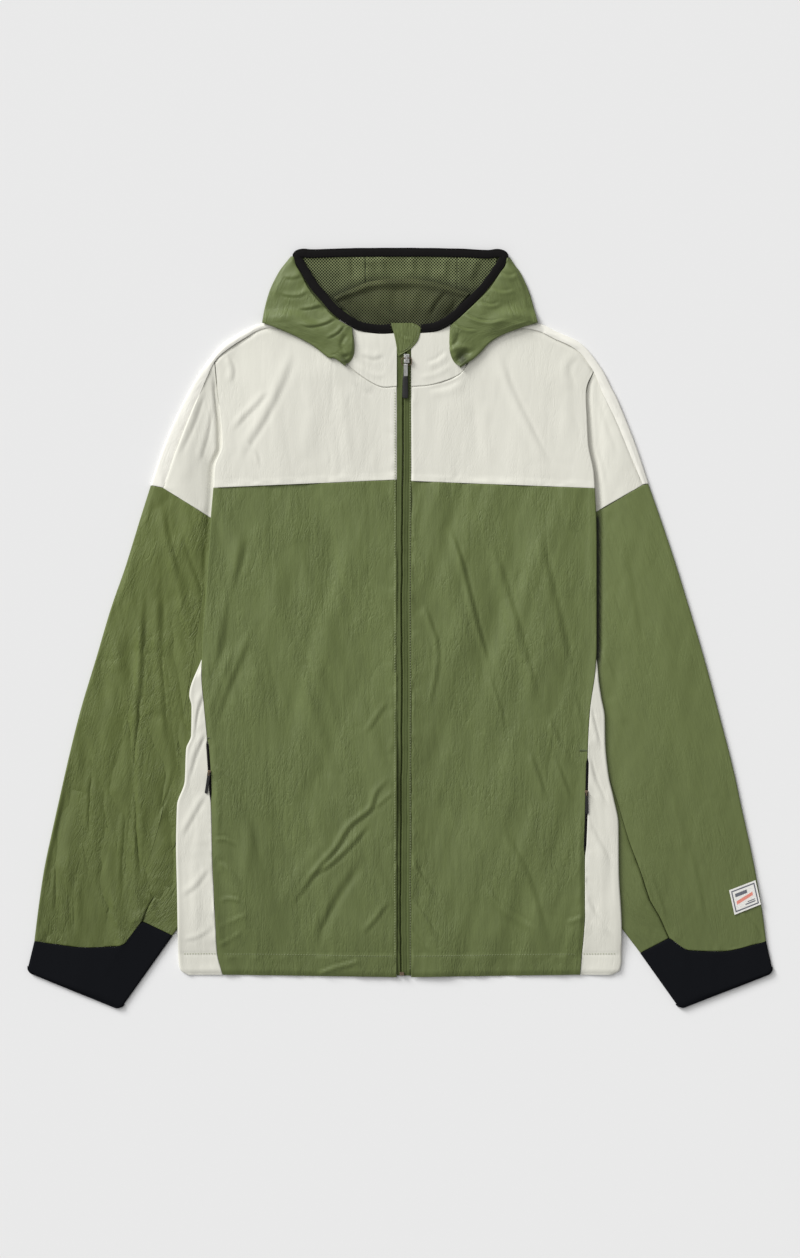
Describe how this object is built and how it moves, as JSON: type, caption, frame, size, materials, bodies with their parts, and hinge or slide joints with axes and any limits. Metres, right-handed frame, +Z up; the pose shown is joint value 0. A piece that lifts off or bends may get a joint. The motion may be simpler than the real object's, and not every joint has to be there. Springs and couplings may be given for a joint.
{
  "type": "windbreaker jacket",
  "caption": "Hooded full-zip windbreaker in green nylon with off-white yokes and side panels and black stretch cuffs, laid flat with its front up.",
  "frame": {"origin": "on the surface that the garment lies on, at the middle of its outline", "axes": "+X towards the wearer's left sleeve, +Y from the hem towards the hood, +Z up out of the front"},
  "size_m": [0.82, 0.8375, 0.0129],
  "materials": {
    "green_nylon": "crinkled matt",
    "off_white_nylon": "crinkled matt",
    "light_strip": "crinkled matt",
    "black_stretch": "smooth knit",
    "black_binding": "elastic tape",
    "green_mesh": "open mesh",
    "zip_tape": "woven tape",
    "silver_metal": "satin",
    "bronze_metal": "antique",
    "black_moulding": "matt",
    "label": "woven"
  },
  "bodies": {
    "root": {"front_right": "green_nylon", "front_left": "green_nylon", "back": "green_nylon", "sleeve_right": "green_nylon", "sleeve_left": "green_nylon", "under_sleeve_right": "green_nylon", "under_sleeve_left": "green_nylon", "hood_side_right": "green_nylon", "hood_side_left": "green_nylon", "hood_centre": "green_nylon", "zip_garage": "green_nylon", "front_yoke_right": "off_white_nylon", "front_yoke_left": "off_white_nylon", "back_yoke": "off_white_nylon", "side_panel_right": "off_white_nylon", "side_panel_left": "off_white_nylon", "sleeve_yoke_right": "off_white_nylon", "sleeve_yoke_left": "off_white_nylon", "sleeve_back_yoke_right": "off_white_nylon", "sleeve_back_yoke_left": "off_white_nylon", "collar_right": "off_white_nylon", "collar_left": "off_white_nylon", "shoulder_strip_right": "light_strip", "shoulder_strip_left": "light_strip", "cuff_right": "black_stretch", "cuff_left": "black_stretch", "hood_binding": "black_binding", "pocket_zip_right": "black_binding", "pocket_zip_left": "black_binding", "hood_lining_right": "green_mesh", "hood_lining_centre": "green_mesh", "hood_lining_left": "green_mesh", "neck_lining": "green_mesh", "zip_tape_right": "zip_tape", "zip_tape_left": "zip_tape", "zip_slider": "silver_metal", "zip_stop": "bronze_metal", "pocket_slider_right": "bronze_metal", "pocket_slider_left": "bronze_metal", "sleeve_label": "label"},
    "zip_ring": {"zip_pull_ring": "bronze_metal"},
    "zip_tab": {"zip_pull_link": "silver_metal", "zip_pull_grip": "black_moulding"},
    "pocket_tab_right": {"pocket_pull_right": "black_moulding"},
    "pocket_tab_left": {"pocket_pull_left": "black_moulding"}
  },
  "joints": [
    {"name": "ring_hinge", "type": "hinge", "parent": "root", "child": "zip_ring", "pos_m": [0.0073, 0.2972, 0.01124], "axis": [-1, 0, 0], "range_deg": [0, 120]},
    {"name": "tab_hinge", "type": "hinge", "parent": "zip_ring", "child": "zip_tab", "pos_m": [0.0073, 0.28987, 0.00924], "axis": [-1, 0, 0], "range_deg": [0, 60]},
    {"name": "pocket_hinge_right", "type": "hinge", "parent": "root", "child": "pocket_tab_right", "pos_m": [-0.2096, -0.158, 0.0105], "axis": [-0.9903, 0.1392, 0], "range_deg": [0, 120]},
    {"name": "pocket_hinge_left", "type": "hinge", "parent": "root", "child": "pocket_tab_left", "pos_m": [0.2046, -0.18, 0.0105], "axis": [-0.9997, -0.0262, 0], "range_deg": [0, 120]}
  ]
}
